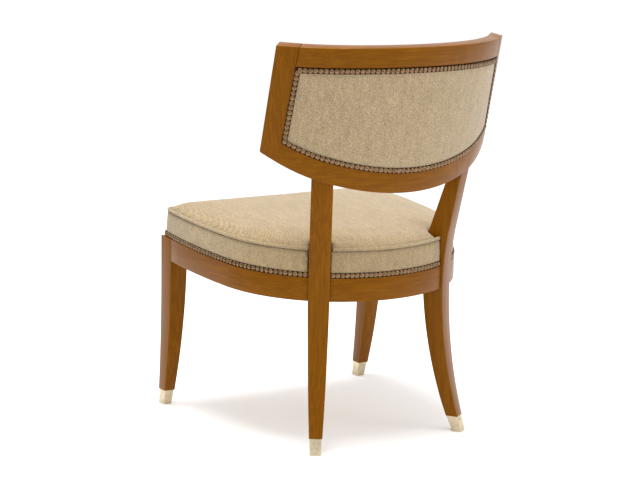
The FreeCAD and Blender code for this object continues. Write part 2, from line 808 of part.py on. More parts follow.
half_reach = size("front_block_reach") / 2.0
front_screw_x, front_screw_y = front_outer_x - half_reach, size("seat_front_y") + half_reach
front_screw, front_screw_hole = screw_and_hole(
    "front_block", size("front_screw_length"),
    (front_screw_x, front_screw_y, band_height(front_screw_y)), Vector(1, 1, 0))
rear_screw_in = size("rear_inner_waist_inset") + size("rear_block_depth")
rear_screw, rear_screw_hole = screw_and_hole(
    "rear_block", size("rear_screw_length"),
    (0.0, -rear_screw_in, band_height(rear_origin[1] - rear_screw_in * cosine(turn))),
    Vector(-1, 0, 0), rear_frame)

# Legs and ferrules
finish_pair("front_leg", cut("front_leg", front_leg_wood, front_rail_slot, side_rail_slot,
                             front_pin_hole, front_screw_hole))
finish_pair("rear_leg", cut("rear_leg", rear_leg_wood, rear_rail_slots, post_slot, rear_pin_hole,
                            rear_screw_hole))
finish_pair("front_ferrule", cut("front_ferrule", front_ferrule_solid, front_leg_wood, front_pin_hole))
finish_pair("rear_ferrule", cut("rear_ferrule", rear_ferrule_solid, rear_leg_wood, rear_pin_hole))
finish("ferrule_pins", group("ferrule_pins", both_sides("front_pins", front_pin),
                             both_sides("rear_pins", rear_pin)))

# Seat rails: the ring is parted by the legs
legs = [front_leg_wood, rear_leg_wood]
legs += [mirror("front_leg_wood_right", front_leg_wood), mirror("rear_leg_wood_right", rear_leg_wood)]
parted_ring = cut("parted_ring", rail_ring, *legs)
waist_middle = (size("rear_outer_waist_inset") + size("rear_inner_waist_inset")) / 2.0
split_x = rear_origin[0] - waist_middle * sine(turn)
split_y = front_heel_y - size("front_top_depth") / 4.0
front_region = block("front_region", (-front_outer_x, -REACH, 0.0), (front_outer_x, split_y, REACH))
back_region = block("back_region", (-split_x, 0.0, 0.0), (split_x, REACH, REACH))
side_region = block("side_region", (split_x, split_y, 0.0), (REACH, REACH, REACH))
finish("front_rail", cut("front_rail", common("front_rail_wood", parted_ring, front_region),
                         front_slots_both))
finish("back_rail", cut("back_rail", common("back_rail_wood", parted_ring, back_region),
                        rear_slots_both))
finish_pair("side_rail", cut("side_rail", common("side_rail_wood", parted_ring, side_region),
                             side_rail_slot, rear_rail_slots))

# Corner blocks, glued to the rails and screwed to the legs
deck_under = tongue - size("deck_thickness")
block_slab = seat_slab("block_slab", deck_under - size("block_height"), deck_under)
corner_x, corner_y = front_outer_x, size("seat_front_y")
corner_reach = size("front_block_reach")
front_corner = extrude("front_corner", outline("front_corner_plan", [
    (corner_x, corner_y), (corner_x, corner_y + corner_reach), (corner_x - corner_reach, corner_y)]),
    REACH)
front_block_wood = cut("front_block_wood", common("front_block_region", front_corner, inner_prism,
                                                  block_slab), front_leg_wood)
block_half, block_depth = size("rear_block_half_length"), size("rear_block_depth")
rear_corner = rear_frame(group("rear_corner", block(
    "rear_corner_block", (-block_half, -size("rear_inner_waist_inset") - block_depth, 0.0),
    (block_half, 0.0, REACH))))
rear_block_wood = cut("rear_block_wood", common("rear_block_region", rear_corner, inner_prism,
                                                block_slab), rear_leg_wood)
finish_pair("front_corner_block", cut("front_corner_block", front_block_wood, front_screw_hole))
finish_pair("rear_corner_block", cut("rear_corner_block", rear_block_wood, rear_screw_hole))
finish("corner_block_screws", group("corner_block_screws", both_sides("front_screws", front_screw),
                                    both_sides("rear_screws", rear_screw)))

# Seat deck, foam and cover
deck_prism = seat_prism("deck_plan", size("rail_thickness") + size("deck_clearance"))
deck_slab = seat_slab("deck_slab", deck_under, tongue)
finish("seat_deck", cut("seat_deck", common("deck_sheet", deck_prism, deck_slab), *legs))

welt_level = band + size("boxing_height")
welt_inset = size("cover_inset") + size("boxing_taper")
# Crown of the seat: share of the way in from the welt, and share of the crown's height there
CROWN = [(0.0, 0.0), (0.06, 0.28), (0.2, 0.62), (0.5, 0.9), (1.0, 1.0)]
STUFFING_CROWN = [(0.0, 0.0), (0.2, 0.62), (1.0, 1.0)]


def cushion_section(name, inset, height, rounded=True):
    """Seat plan, upright above the rails, at a height square to the slope."""
    sketch = seat_plan(name, inset, rounded)
    return seat_frame(sketch, -(as_size(height) * sine(size("seat_rake"))), height)


def crown(name, inset, level, shape, rounded=True):
    """Top of a cushion: rings that rise inwards, each share of the way in with its share of rise."""
    return loft(name, [cushion_section("%s_ring_%d" % (name, number),
                                       inset + size("seat_crown_reach") * share,
                                       level + size("seat_crown") * rise, rounded)
                       for number, (share, rise) in enumerate(shape, start=1)])


# Cover: boxing, a rebate for the welt, and the crowned top
ledge_level = welt_level - size("welt_radius")
top_inset = welt_inset + size("welt_radius")
cushion_boxing = loft("cushion_boxing", [cushion_section("boxing_low", size("cover_inset"), band),
                                         cushion_section("boxing_high", welt_inset, ledge_level)])
cushion_edge = loft("cushion_edge", [
    cushion_section("edge_low", top_inset, ledge_level - size("welt_radius")),
    cushion_section("edge_high", top_inset, welt_level)])
cushion = fuse("cushion", cushion_boxing, cushion_edge,
               crown("cushion_crown", top_inset, welt_level, CROWN))

# Stuffing: drawn in evenly from the boxing to the top, which has fewer rings
inner = size("cover_thickness")
stuffing_side = loft("stuffing_side", [
    cushion_section("stuffing_low", size("cover_inset") + inner, band - inner, rounded=False),
    cushion_section("stuffing_high", top_inset + inner, welt_level - inner, rounded=False)])
stuffing = fuse("stuffing", stuffing_side,
                crown("stuffing_crown", top_inset + inner, welt_level - inner, STUFFING_CROWN,
                      rounded=False))
above_deck = seat_slab("above_deck", tongue, tongue + REACH / 3.0)
finish("seat_foam", cut("seat_foam", common("foam_block", stuffing, above_deck),
                        notch_left, notch_right))

# Welt: a cord round the edge between boxing and top, as a tube with eight sides
def welt_side(name, side):
    """The cord's outer side with all that it encloses (side -1), or what lies inside it (side 1)."""
    near, far = size("welt_radius") * math.sin(math.pi / 8.0), size("welt_radius") * math.cos(math.pi / 8.0)
    corners = [(near, -far), (far, -near), (far, near), (near, far)]
    return loft(name, [cushion_section("%s_%d" % (name, number), welt_inset + out * float(side),
                                       welt_level + up)
                       for number, (out, up) in enumerate(corners, start=1)])


welt_tube = cut("welt_tube", welt_side("welt_outer", -1), welt_side("welt_inner", 1))
finish("seat_cover", cut("seat_cover", cushion, fuse("cover_inside", stuffing, notch_left,
                                                     notch_right)))
welt_runs = cut("welt_runs", welt_tube, notch_left, notch_right)
finish("seat_welt_front", cut("seat_welt_front", welt_runs, back_region))
finish("seat_welt_back", common("seat_welt_back", welt_runs, back_region))

# Nail trim along the foot of the boxing
trim_width, trim_thickness = size("nail_trim_width"), size("nail_trim_thickness")
trim_ring = cut("trim_ring", common(
    "trim_block", seat_prism("trim_plan", size("cover_inset") - trim_thickness, rounded=True),
    seat_slab("trim_slab", band, band + trim_width)), cushion, notch_left, notch_right)
finish("seat_nail_trim_front", cut("seat_nail_trim_front", trim_ring, back_region))
finish("seat_nail_trim_back", common("seat_nail_trim_back", trim_ring, back_region))

# Back frame
finish_pair("end_stile", back_frame(cut("end_stile", stile_upright, stile_slots_upright)))
finish("crest_rail", back_frame(cut("crest_rail", crest_upright, stile_slots_both)))
lower_back = back_frame(cut("lower_back", lower_upright, stile_slots_both))
finish("lower_back_rail", cut("lower_back_rail", lower_back, post_slots_both))

# Back panel
panel_low = size("back_bottom") + size("lower_rail_height")
panel_high = size("back_top") - size("crest_rail_height")
panel_window = between_seams("panel_window", opening)
board_back = size("board_depth") + size("board_thickness")
outside_edge = size("outside_edge_depth")
pad_edge = thickness + size("pad_edge_proud")
pad_middle = pad_edge + size("pad_crown")


# Crown of the panels: share of their height, and share of the crown there
PANEL_CROWN = [(0.0, 0.0), (0.15, 0.62), (0.5, 1.0), (0.85, 0.62), (1.0, 0.0)]


def crowned_ring(name, flat_depth, edge_depth, crown, outwards):
    """Half ring the height of the panel, flat on one face and crowned on the other."""
    crown = crown if outwards else -crown
    levels = [mix(panel_low, panel_high, share) for share, rise in PANEL_CROWN]
    swell = [(cone_radius(level, edge_depth - crown * rise), level)
             for level, (share, rise) in zip(levels, PANEL_CROWN)]
    flat = [(cone_radius(level, flat_depth), level) for level in (panel_high, panel_low)]
    return revolve_half(name, outline(name + "_section", swell + flat, plane=FRONT))


def shifted_cone(name, wider, y):
    """Solid half cone with the back's flare, wider than it and with its axis moved along y."""
    corners = [(0.0, LOW), (cone_radius(LOW, -wider), LOW), (cone_radius(HIGH, -wider), HIGH),
               (0.0, HIGH)]
    return place(revolve_half(name, outline(name + "_section", corners, plane=FRONT)), (0.0, y, 0.0))


trim_window = between_seams("trim_window", back_view(
    "trim_opening", size("lower_rail_height") + trim_width, size("crest_rail_height") + trim_width),
    trim_width)
panel_border = cut("panel_border", panel_window, trim_window)


def border_ring(name, outside_depth, inside_depth):
    """Band along the panel's edge, as wide as the nail trim, between two depths."""
    return common(name, panel_border, back_shell(name + "_shell", outside_depth, inside_depth))


def pad_form(name, shrink):
    """Inside pad from the board inwards, crowned in height and in plan, level under the nails."""
    shrink = as_size(shrink)
    narrower = size("pad_plan_narrower")
    limit = shifted_cone(name + "_limit", shrink - narrower, narrower - pad_middle)
    ring = crowned_ring(name + "_ring", board_back, pad_edge - shrink, size("pad_crown"), False)
    edge = border_ring(name + "_edge", pad_edge - shrink, pad_middle + size("pad_crown"))
    return cut(name, common(name + "_window", ring, panel_window), limit, edge)


finish("back_panel_board", back_frame(common(
    "back_panel_board", back_shell("board_ring", size("board_depth"), board_back), panel_window)))
outside_rise = size("outside_crown") - outside_edge
tighter = size("outside_plan_tighter")
outside_upright = common(
    "outside_upright", panel_window,
    crowned_ring("outside_ring", size("board_depth"), outside_edge, size("outside_crown"), True),
    shifted_cone("outside_limit", -tighter, tighter + outside_rise))
finish("outside_back_cover", back_frame(cut(
    "outside_back_cover", outside_upright,
    border_ring("outside_cover_edge", -size("outside_crown"), outside_edge))))
pad_inner = pad_form("pad_inner", size("pad_cover_thickness"))
finish("inside_back_foam", back_frame(group("inside_back_foam", pad_inner)))
finish("inside_back_cover", back_frame(cut("inside_back_cover", pad_form("pad_whole", 0.0),
                                           pad_inner)))
finish("outside_nail_trim", back_frame(border_ring("outside_nail_trim",
                                                   outside_edge - trim_thickness, outside_edge)))
finish("inside_nail_trim", back_frame(border_ring("inside_nail_trim", pad_edge,
                                                  pad_edge + trim_thickness)))

# Dowels
finish("rail_dowels", group("rail_dowels", both_sides("front_rail_dowels", front_rail_dowel),
                            both_sides("side_rail_dowels", side_rail_dowel),
                            both_sides("rear_rail_dowels_both", rear_rail_dowels)))
finish("post_dowels", both_sides("post_dowels_both", post_dowel))
finish("stile_dowels", back_frame(both_sides("stile_dowels_both", stile_dowels_upright)))

doc.recompute()

for thing in doc.Objects:
    for state in ("Invalid", "Error"):
        if state in thing.State:
            raise RuntimeError("%s is %s" % (thing.Name, state))
for node in nodes:
    if node.Shape.isNull() or not node.Shape.isValid():
        raise RuntimeError("%s has no valid shape" % node.Label)

os.makedirs("parts", exist_ok=True)
for node in nodes:
    node.Shape.exportStep(os.path.join("parts", node.Label + ".step"))
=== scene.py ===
import math

import bmesh
import bpy
from mathutils import Matrix, Vector
from mathutils.kdtree import KDTree


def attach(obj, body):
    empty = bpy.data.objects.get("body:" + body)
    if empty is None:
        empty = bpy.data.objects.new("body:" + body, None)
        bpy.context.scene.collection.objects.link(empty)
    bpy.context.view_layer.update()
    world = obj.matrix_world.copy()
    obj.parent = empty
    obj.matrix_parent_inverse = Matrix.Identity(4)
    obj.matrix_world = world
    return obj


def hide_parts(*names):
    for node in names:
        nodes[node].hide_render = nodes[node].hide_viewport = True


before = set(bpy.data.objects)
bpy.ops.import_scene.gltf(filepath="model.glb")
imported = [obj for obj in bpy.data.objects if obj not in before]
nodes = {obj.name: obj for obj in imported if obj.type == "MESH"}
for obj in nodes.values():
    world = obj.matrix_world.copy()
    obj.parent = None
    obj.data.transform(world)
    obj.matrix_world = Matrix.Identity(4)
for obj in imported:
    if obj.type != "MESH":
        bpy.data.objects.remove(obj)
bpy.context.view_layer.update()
scene = bpy.context.scene
MM = 0.001


# Materials

def material(name):
    made = bpy.data.materials.new(name)
    made.use_nodes = True
    tree = made.node_tree
    tree.nodes.clear()
    output = tree.nodes.new("ShaderNodeOutputMaterial")
    shader = tree.nodes.new("ShaderNodeBsdfPrincipled")
    tree.links.new(shader.outputs[0], output.inputs[0])
    return made, tree, shader


def node(tree, kind, inputs=None, **settings):
    made = tree.nodes.new(kind)
    for key, value in settings.items():
        setattr(made, key, value)
    for key, value in (inputs or {}).items():
        if isinstance(value, bpy.types.NodeSocket):
            tree.links.new(value, made.inputs[key])
        else:
            made.inputs[key].default_value = value
    return made


def coordinates(tree, scale, turn=(0.0, 0.0, 0.0)):
    place = node(tree, "ShaderNodeTexCoord")
    mapped = node(tree, "ShaderNodeMapping", {"Vector": place.outputs["Object"]})
    mapped.inputs["Scale"].default_value = scale
    mapped.inputs["Rotation"].default_value = turn
    return mapped.outputs[0]


def ramp(tree, value, stops):
    made = node(tree, "ShaderNodeValToRGB", {0: value})
    band = made.color_ramp
    while len(band.elements) < len(stops):
        band.elements.new(0.5)
    for element, (place, colour) in zip(band.elements, stops):
        element.position = place
        element.color = (*colour, 1.0)
    return made.outputs[0]


# Sockets of a colour Mix node: factor, first and second colour in, and result out
MIX_FACTOR, MIX_FIRST, MIX_SECOND, MIX_RESULT = 0, 6, 7, 2


def mixed(tree, factor, first, second, blend="MIX"):
    made = node(tree, "ShaderNodeMix", data_type="RGBA", blend_type=blend)
    for index, value in ((MIX_FACTOR, factor), (MIX_FIRST, first), (MIX_SECOND, second)):
        if isinstance(value, bpy.types.NodeSocket):
            tree.links.new(value, made.inputs[index])
        elif index == MIX_FACTOR:
            made.inputs[index].default_value = value
        else:
            made.inputs[index].default_value = (*value, 1.0)
    return made.outputs[MIX_RESULT]


def bump(tree, shader, height, distance, strength=1.0, below=None):
    made = node(tree, "ShaderNodeBump", {"Height": height, "Distance": distance,
                                         "Strength": strength})
    if below is not None:
        tree.links.new(below, made.inputs["Normal"])
    tree.links.new(made.outputs[0], shader.inputs["Normal"])
    return made.outputs[0]


def wood(name, along, dark, middle, light, roughness=0.3, coat=0.06):
    """Fine straight grain with pores and slow colour drift; along is the grain's scale vector."""
    made, tree, shader = material(name)
    drift = node(tree, "ShaderNodeTexNoise", {
        "Vector": coordinates(tree, [value * 0.12 for value in along]), "Scale": 1.0,
        "Detail": 3.0, "Distortion": 0.6})
    grain = node(tree, "ShaderNodeTexNoise", {
        "Vector": coordinates(tree, along), "Scale": 1.0, "Detail": 5.0, "Roughness": 0.62,
        "Distortion": 0.25})
    pores = node(tree, "ShaderNodeTexNoise", {
        "Vector": coordinates(tree, [value * 5.0 for value in along]), "Scale": 1.0,
        "Detail": 2.0})
    both = mixed(tree, 0.45, ramp(tree, grain.outputs[0], [(0.3, (0, 0, 0)), (0.72, (1, 1, 1))]),
                 drift.outputs[0])
    colour = ramp(tree, both, [(0.12, dark), (0.5, middle), (0.88, light)])
    flecks = ramp(tree, pores.outputs[0], [(0.34, (0.62, 0.55, 0.5)), (0.46, (1, 1, 1))])
    colour = mixed(tree, 0.3, colour, flecks, "MULTIPLY")
    tree.links.new(colour, shader.inputs["Base Color"])
    rough = node(tree, "ShaderNodeMapRange", {"Value": grain.outputs[0], "To Min": roughness - 0.05,
                                              "To Max": roughness + 0.09})
    tree.links.new(rough.outputs[0], shader.inputs["Roughness"])
    shader.inputs["Coat Weight"].default_value = coat
    shader.inputs["Coat Roughness"].default_value = 0.14
    shader.inputs["Specular IOR Level"].default_value = 0.24
    shader.inputs["Specular Tint"].default_value = (1.0, 0.55, 0.14, 1.0)
    bump(tree, shader, grain.outputs[0], 0.00012, 0.5)
    return made


def fabric(name, ribs, tint=(1.0, 1.0, 1.0)):
    """Beige tweed: uneven ribs one way, a fine diagonal weave, and pale and dark slubs."""
    made, tree, shader = material(name)
    rib = node(tree, "ShaderNodeTexNoise", {"Vector": coordinates(tree, ribs), "Scale": 1.0,
                                            "Detail": 4.0, "Roughness": 0.6})
    broad = node(tree, "ShaderNodeTexNoise", {
        "Vector": coordinates(tree, [value * 0.22 for value in ribs]), "Scale": 1.0, "Detail": 2.0})
    weave = node(tree, "ShaderNodeTexWave", {
        "Vector": coordinates(tree, (1.0, 1.0, 1.0), (0.6, 0.75, 0.5)), "Scale": 105.0,
        "Distortion": 1.3, "Detail": 2.0, "Detail Scale": 1.6}, wave_type="BANDS")
    cross = node(tree, "ShaderNodeTexWave", {
        "Vector": coordinates(tree, (1.0, 1.0, 1.0), (-0.6, -0.75, 0.5)), "Scale": 90.0,
        "Distortion": 1.5, "Detail": 2.0, "Detail Scale": 1.4}, wave_type="BANDS")
    slub = node(tree, "ShaderNodeTexNoise", {"Vector": coordinates(tree, (360.0, 360.0, 360.0)),
                                             "Scale": 1.0, "Detail": 2.0})
    tone = [(0.36, 0.262, 0.135), (0.46, 0.35, 0.195), (0.57, 0.455, 0.285)]
    tone = [tuple(part * shade for part, shade in zip(colour, tint)) for colour in tone]
    colour = ramp(tree, rib.outputs[0], [(0.12, tone[0]), (0.5, tone[1]), (0.88, tone[2])])
    colour = mixed(tree, 0.3, colour, ramp(tree, broad.outputs[0],
                                           [(0.35, (0.72, 0.68, 0.62)), (0.65, (1.12, 1.1, 1.06))]),
                   "MULTIPLY")
    threads = mixed(tree, 0.5, weave.outputs[0], cross.outputs[0])
    colour = mixed(tree, 0.45, colour, ramp(tree, threads, [(0.2, (0.6, 0.56, 0.5)),
                                                            (0.75, (1.15, 1.13, 1.08))]), "MULTIPLY")
    colour = mixed(tree, 0.5, colour, ramp(tree, slub.outputs[0], [(0.36, (0.5, 0.45, 0.38)),
                                                                  (0.62, (1.16, 1.14, 1.1))]),
                   "MULTIPLY")
    tree.links.new(colour, shader.inputs["Base Color"])
    shader.inputs["Roughness"].default_value = 0.88
    shader.inputs["Sheen Weight"].default_value = 0.35
    shader.inputs["Sheen Roughness"].default_value = 0.5
    shader.inputs["Specular IOR Level"].default_value = 0.25
    first = bump(tree, shader, threads, 0.00045, 0.7)
    bump(tree, shader, rib.outputs[0], 0.0007, 0.55, first)
    return made


def metal(name, colour, dark, roughness, scale=260.0):
    made, tree, shader = material(name)
    patches = node(tree, "ShaderNodeTexNoise", {"Vector": coordinates(tree, (1.0, 1.0, 1.0)),
                                                "Scale": scale, "Detail": 4.0})
    tree.links.new(ramp(tree, patches.outputs[0], [(0.3, dark), (0.6, colour)]),
                   shader.inputs["Base Color"])
    shader.inputs["Metallic"].default_value = 1.0
    rough = node(tree, "ShaderNodeMapRange", {"Value": patches.outputs[0],
                                              "To Min": roughness - 0.06, "To Max": roughness + 0.1})
    tree.links.new(rough.outputs[0], shader.inputs["Roughness"])
    bump(tree, shader, patches.outputs[0], 0.00006, 0.4)
    return made


DARK, MIDDLE, LIGHT = (0.115, 0.035, 0.0004), (0.158, 0.052, 0.0006), (0.215, 0.077, 0.0012)
wood_up = wood("wood_upright", (210.0, 210.0, 9.0), DARK, MIDDLE, LIGHT)
wood_across = wood("wood_across", (9.0, 60.0, 210.0), DARK, MIDDLE, LIGHT)
wood_along = wood("wood_along", (60.0, 9.0, 210.0), DARK, MIDDLE, LIGHT)
inner_wood = wood("wood_bare", (160.0, 160.0, 12.0), (0.42, 0.26, 0.12), (0.52, 0.34, 0.17),
                  (0.62, 0.43, 0.24), roughness=0.6, coat=0.0)
plywood = wood("wood_ply", (12.0, 90.0, 500.0), (0.40, 0.25, 0.12), (0.50, 0.33, 0.17),
               (0.60, 0.43, 0.25), roughness=0.65, coat=0.0)
# Seat and back are the one tweed; the seat's copy has a darker tint as painted shade, offsetting how
# brightly its top is lit
fabric_back = fabric("fabric_back", (430.0, 430.0, 40.0), (0.82, 0.83, 0.92))
fabric_seat = fabric("fabric_seat", (400.0, 90.0, 90.0), (0.77, 0.765, 0.77))
nail_metal = metal("nail_heads", (0.25, 0.16, 0.085), (0.10, 0.055, 0.028), roughness=0.24)
# Near-black metal on the nail trims: painted shade for the dark gaps between the domed heads
painted_gap_shade = metal("painted_shade_nail_gaps", (0.045, 0.02, 0.010), (0.02, 0.009, 0.005), roughness=0.6)
brass = metal("ferrule_brass", (0.62, 0.53, 0.37), (0.50, 0.41, 0.27), roughness=0.27, scale=90.0)
steel = metal("screw_steel", (0.60, 0.60, 0.60), (0.42, 0.42, 0.42), roughness=0.35)


# Rigid pieces: the solids with softened edges

# Distances in metres at which corners merge, in the solids and in the boxing
SOLID_MERGE, BOXING_MERGE = 0.00002, 0.0001
FLAT_ANGLE, EDGE_ANGLE, SHARP_ANGLE = [math.radians(degrees) for degrees in (1.0, 35.0, 38.0)]


def smooth_faces(mesh):
    mesh.polygons.foreach_set("use_smooth", [True] * len(mesh.polygons))


def link(name, mesh, finish):
    piece = bpy.data.objects.new(name, mesh)
    scene.collection.objects.link(piece)
    mesh.materials.clear()
    mesh.materials.append(finish)
    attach(piece, "root")
    return piece


def settled(piece):
    """Applies a piece's modifiers."""
    bpy.context.view_layer.update()
    shown = piece.evaluated_get(bpy.context.evaluated_depsgraph_get())
    mesh = bpy.data.meshes.new_from_object(shown)
    piece.modifiers.clear()
    piece.data = mesh


def clean_copy(name, *sources):
    """One mesh of the nodes' own solids, with the corners of neighbouring faces merged."""
    work = bmesh.new()
    for source in sources:
        work.from_mesh(nodes[source].data)
    bmesh.ops.remove_doubles(work, verts=work.verts, dist=SOLID_MERGE)
    mesh = bpy.data.meshes.new(name)
    work.to_mesh(mesh)
    work.free()
    return mesh


def dressed(source, finish, width):
    """The node's own form with its edges rounded by a small bevel, its width in mm."""
    mesh = clean_copy(source + "_mesh", source)
    work = bmesh.new()
    work.from_mesh(mesh)
    bmesh.ops.dissolve_limit(work, angle_limit=FLAT_ANGLE, verts=work.verts, edges=work.edges)
    work.to_mesh(mesh)
    work.free()
    piece = link(source + "_shown", mesh, finish)
    bevel = piece.modifiers.new("edges", "BEVEL")
    bevel.width = width * MM
    bevel.segments = 3
    bevel.limit_method = "ANGLE"
    bevel.angle_limit = EDGE_ANGLE
    bevel.use_clamp_overlap = True
    bevel.miter_outer = "MITER_SHARP"
    settled(piece)
    smooth_faces(piece.data)
    piece.data.set_sharp_from_angle(angle=SHARP_ANGLE)
    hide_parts(source)


EDGES_OF_PAIRS = (("front_leg", wood_up, "show_wood", 2.0), ("rear_leg", wood_up, "show_wood", 2.2),
                  ("end_stile", wood_up, "show_wood", 3.0), ("side_rail", wood_along, "show_wood", 1.2),
                  ("front_ferrule", brass, "ferrule_brass", 1.0),
                  ("rear_ferrule", brass, "ferrule_brass", 1.0))
for side in ("_left", "_right"):
    for name, finish, slot, width in EDGES_OF_PAIRS:
        dressed(name + side, finish, width)
for name, width in (("crest_rail", 2.5), ("lower_back_rail", 2.2), ("front_rail", 1.2),
                    ("back_rail", 1.2)):
    dressed(name, wood_across, width)


def finished(names, finish):
    """Gives the nodes that are shown as they are a material."""
    for name in names:
        nodes[name].data.materials.clear()
        nodes[name].data.materials.append(finish)


finished(("rail_dowels", "post_dowels", "stile_dowels", "front_corner_block_left",
          "front_corner_block_right", "rear_corner_block_left", "rear_corner_block_right"), inner_wood)
finished(("seat_deck", "back_panel_board"), plywood)
finished(("corner_block_screws",), steel)
finished(("ferrule_pins",), brass)
# The nail trims show between the heads in near-black metal, as painted shade in those gaps
finished(("seat_nail_trim_front", "seat_nail_trim_back", "outside_nail_trim", "inside_nail_trim"),
         painted_gap_shade)


# Lines that welt and nails follow

def spaced(path, pitch, closed):
    """Points along a path at an even pitch, with the outward normal carried along."""
    points = path + [path[0]] if closed else path
    lengths = [0.0]
    for before, after in zip(points, points[1:]):
        lengths.append(lengths[-1] + (after[0] - before[0]).length)
    count = max(2, round(lengths[-1] / pitch))
    made, index = [], 0
    for number in range(count if closed else count + 1):
        goal = lengths[-1] * number / count
        while index < len(lengths) - 2 and lengths[index + 1] < goal:
            index += 1
        span = lengths[index + 1] - lengths[index]
        share = (goal - lengths[index]) / span if span else 0.0
        (here, n), (there, m) = points[index], points[index + 1]
        made.append((here.lerp(there, share), n.lerp(m, share).normalized(),
                     (there - here).normalized()))
    return made


# Seat, in mm: centre and radius of each arc of its outer line, and the turns where they meet
BACK_CENTRE, BACK_RADIUS = (0.0, -108.3), 324.0
SIDE_CENTRE, SIDE_RADIUS = (35.31, -43.27), 250.0
FLANK_CENTRE, FLANK_RADIUS = (-848.06, -151.73), 1140.0
BACK_TURN, SIDE_TURN = math.radians(28.5), math.radians(83.0)
SEAT_FRONT, RAIL_BOTTOM, RAKE = -286.8, 330.5, math.radians(3.1)
BAND_HEIGHT, WELT_HEIGHT, WELT_INSET, WELT_RADIUS = 50.0, 111.0, 6.0, 3.6
LOW_CORNER, HIGH_CORNER = 8.0, 15.0
ARC_STEPS, FLANK_STEPS, CORNER_STEPS, LINE_POINTS = 30, 40, 8, 1400
# Rear legs, in mm: middle of the left one at the seat, half its width and how far it is turned
LEG_PLACE, LEG_HALF_WIDTH, LEG_TURN = (188.6, 206.9), 22.9, math.radians(33.7)
# Runs join where their ends lie nearer than this, in metres
JOIN_DISTANCE = 0.01


def on_arc(centre, radius, turn):
    """Point of an arc at a turn from the +Y side, and the arc's outward direction there."""
    out = (math.sin(turn), math.cos(turn))
    return (centre[0] + radius * out[0], centre[1] + radius * out[1], *out)


def seat_path(inset, height, corner=LOW_CORNER):
    """The seat's outer line moved in by inset, at a height above the rails' bottom, in metres."""
    half = [on_arc(BACK_CENTRE, BACK_RADIUS - inset, BACK_TURN * step / ARC_STEPS)
            for step in range(ARC_STEPS)]
    half += [on_arc(SIDE_CENTRE, SIDE_RADIUS - inset,
                    BACK_TURN + (SIDE_TURN - BACK_TURN) * step / ARC_STEPS)
             for step in range(ARC_STEPS)]
    reach = FLANK_RADIUS - inset - corner
    low = SEAT_FRONT + inset + corner
    end = math.acos((low - FLANK_CENTRE[1]) / reach)
    half += [on_arc(FLANK_CENTRE, FLANK_RADIUS - inset, SIDE_TURN + (end - SIDE_TURN) * step / FLANK_STEPS)
             for step in range(FLANK_STEPS + 1)]
    corner_centre = (FLANK_CENTRE[0] + reach * math.sin(end), low)
    half += [on_arc(corner_centre, corner, end + (math.pi - end) * step / CORNER_STEPS)
             for step in range(1, CORNER_STEPS + 1)]
    whole = half + [(-x, y, -u, v) for x, y, u, v in reversed(half)]
    return [(Vector((x, y * math.cos(RAKE),
                     RAIL_BOTTOM + height * math.cos(RAKE) - y * math.sin(RAKE))) * MM,
             Vector((u, v, 0.0)).normalized()) for x, y, u, v in whole]


def outside_posts(path, clear):
    """The runs of a path that stay clear of the two rear legs."""
    runs, run = [], []
    for point, normal in path:
        near = False
        for side in (-1.0, 1.0):
            across = Vector((side * math.cos(LEG_TURN), -math.sin(LEG_TURN)))
            flat = point.xy - Vector((side * LEG_PLACE[0], LEG_PLACE[1])) * MM
            if abs(flat.dot(across)) < (LEG_HALF_WIDTH + clear) * MM and point.y > 0.0:
                near = True
        if near:
            if len(run) > 1:
                runs.append(run)
            run = []
        else:
            run.append((point, normal))
    if len(run) > 1:
        runs.append(run)
    return runs


def joined_runs(line, clear):
    """The runs of a closed line between the posts, with the run over the start made whole."""
    runs = outside_posts(line, clear)
    if (runs[0][0][0] - runs[-1][-1][0]).length < JOIN_DISTANCE:
        runs[0] = runs.pop() + runs[0]
    return runs


def densely(path):
    """The closed path with many evenly spaced points."""
    length = sum((after[0] - here[0]).length for here, after in zip(path, path[1:]))
    return [(point, normal) for point, normal, along in spaced(path, length / LINE_POINTS, True)]


# Back, in mm: a cone that leans, its levels counted along its axis from AXIS_Y and AXIS_HEIGHT
LEAN, FLARE = math.radians(10.1), math.radians(1.8)
AXIS_Y, AXIS_HEIGHT, CONE_RADIUS, MIDDLE_RADIUS = -101.5, 695.0, 375.3, 380.0
TOP, CREST, TOP_ARCH = 241.2, 43.0, 1853.0
BOTTOM, LOWER_RAIL, MIDDLE_ARCH, MIDDLE_HALF, WING_ARCH = -76.4, 44.0, 875.0, 182.5, 300.0
# Seams of the stiles: bearing, and the place along the tangent there at a low and a high level
BEARING, SEAM_LOW, SEAM_HIGH = math.radians(47.0), -15.7, -34.3
SEAM_LOW_LEVEL, SEAM_HIGH_LEVEL = -30.0, 220.0
SIDE_STEPS, LEVEL_LOW, LEVEL_RISE, EDGE_STEPS = 200, -20.0, 240.0, 120
# A border's points lie at least this far apart, in metres
LEAST_STEP = 0.0008


def back_point(turn, level, depth):
    """Point of the back at a turn, a level and a depth behind its outer face, and its normal."""
    radius = CONE_RADIUS + level * math.tan(FLARE) - depth
    across, out = radius * math.sin(turn), radius * math.cos(turn)
    point = Vector((across, AXIS_Y + level * math.sin(LEAN) + out * math.cos(LEAN),
                    AXIS_HEIGHT + level * math.cos(LEAN) - out * math.sin(LEAN))) * MM
    normal = Vector((math.sin(turn), math.cos(turn) * math.cos(LEAN),
                     -math.cos(turn) * math.sin(LEAN)))
    return point, normal


def top_level(x):
    """Level of the crest rail's lower edge at x."""
    return TOP - CREST - (TOP_ARCH - math.sqrt(TOP_ARCH ** 2 - x * x))


def bottom_level(x):
    """Level of the lower rail's upper edge at x: a wide arc with a tighter one at each end."""
    x = abs(x)
    bottom, reach = BOTTOM + LOWER_RAIL, math.sqrt(MIDDLE_ARCH ** 2 - MIDDLE_HALF ** 2)
    if x <= MIDDLE_HALF:
        return bottom + MIDDLE_ARCH - math.sqrt(MIDDLE_ARCH ** 2 - x * x)
    share = WING_ARCH / MIDDLE_ARCH
    return (bottom + MIDDLE_ARCH - reach + reach * share
            - math.sqrt(WING_ARCH ** 2 - (x - MIDDLE_HALF * (1.0 - share)) ** 2))


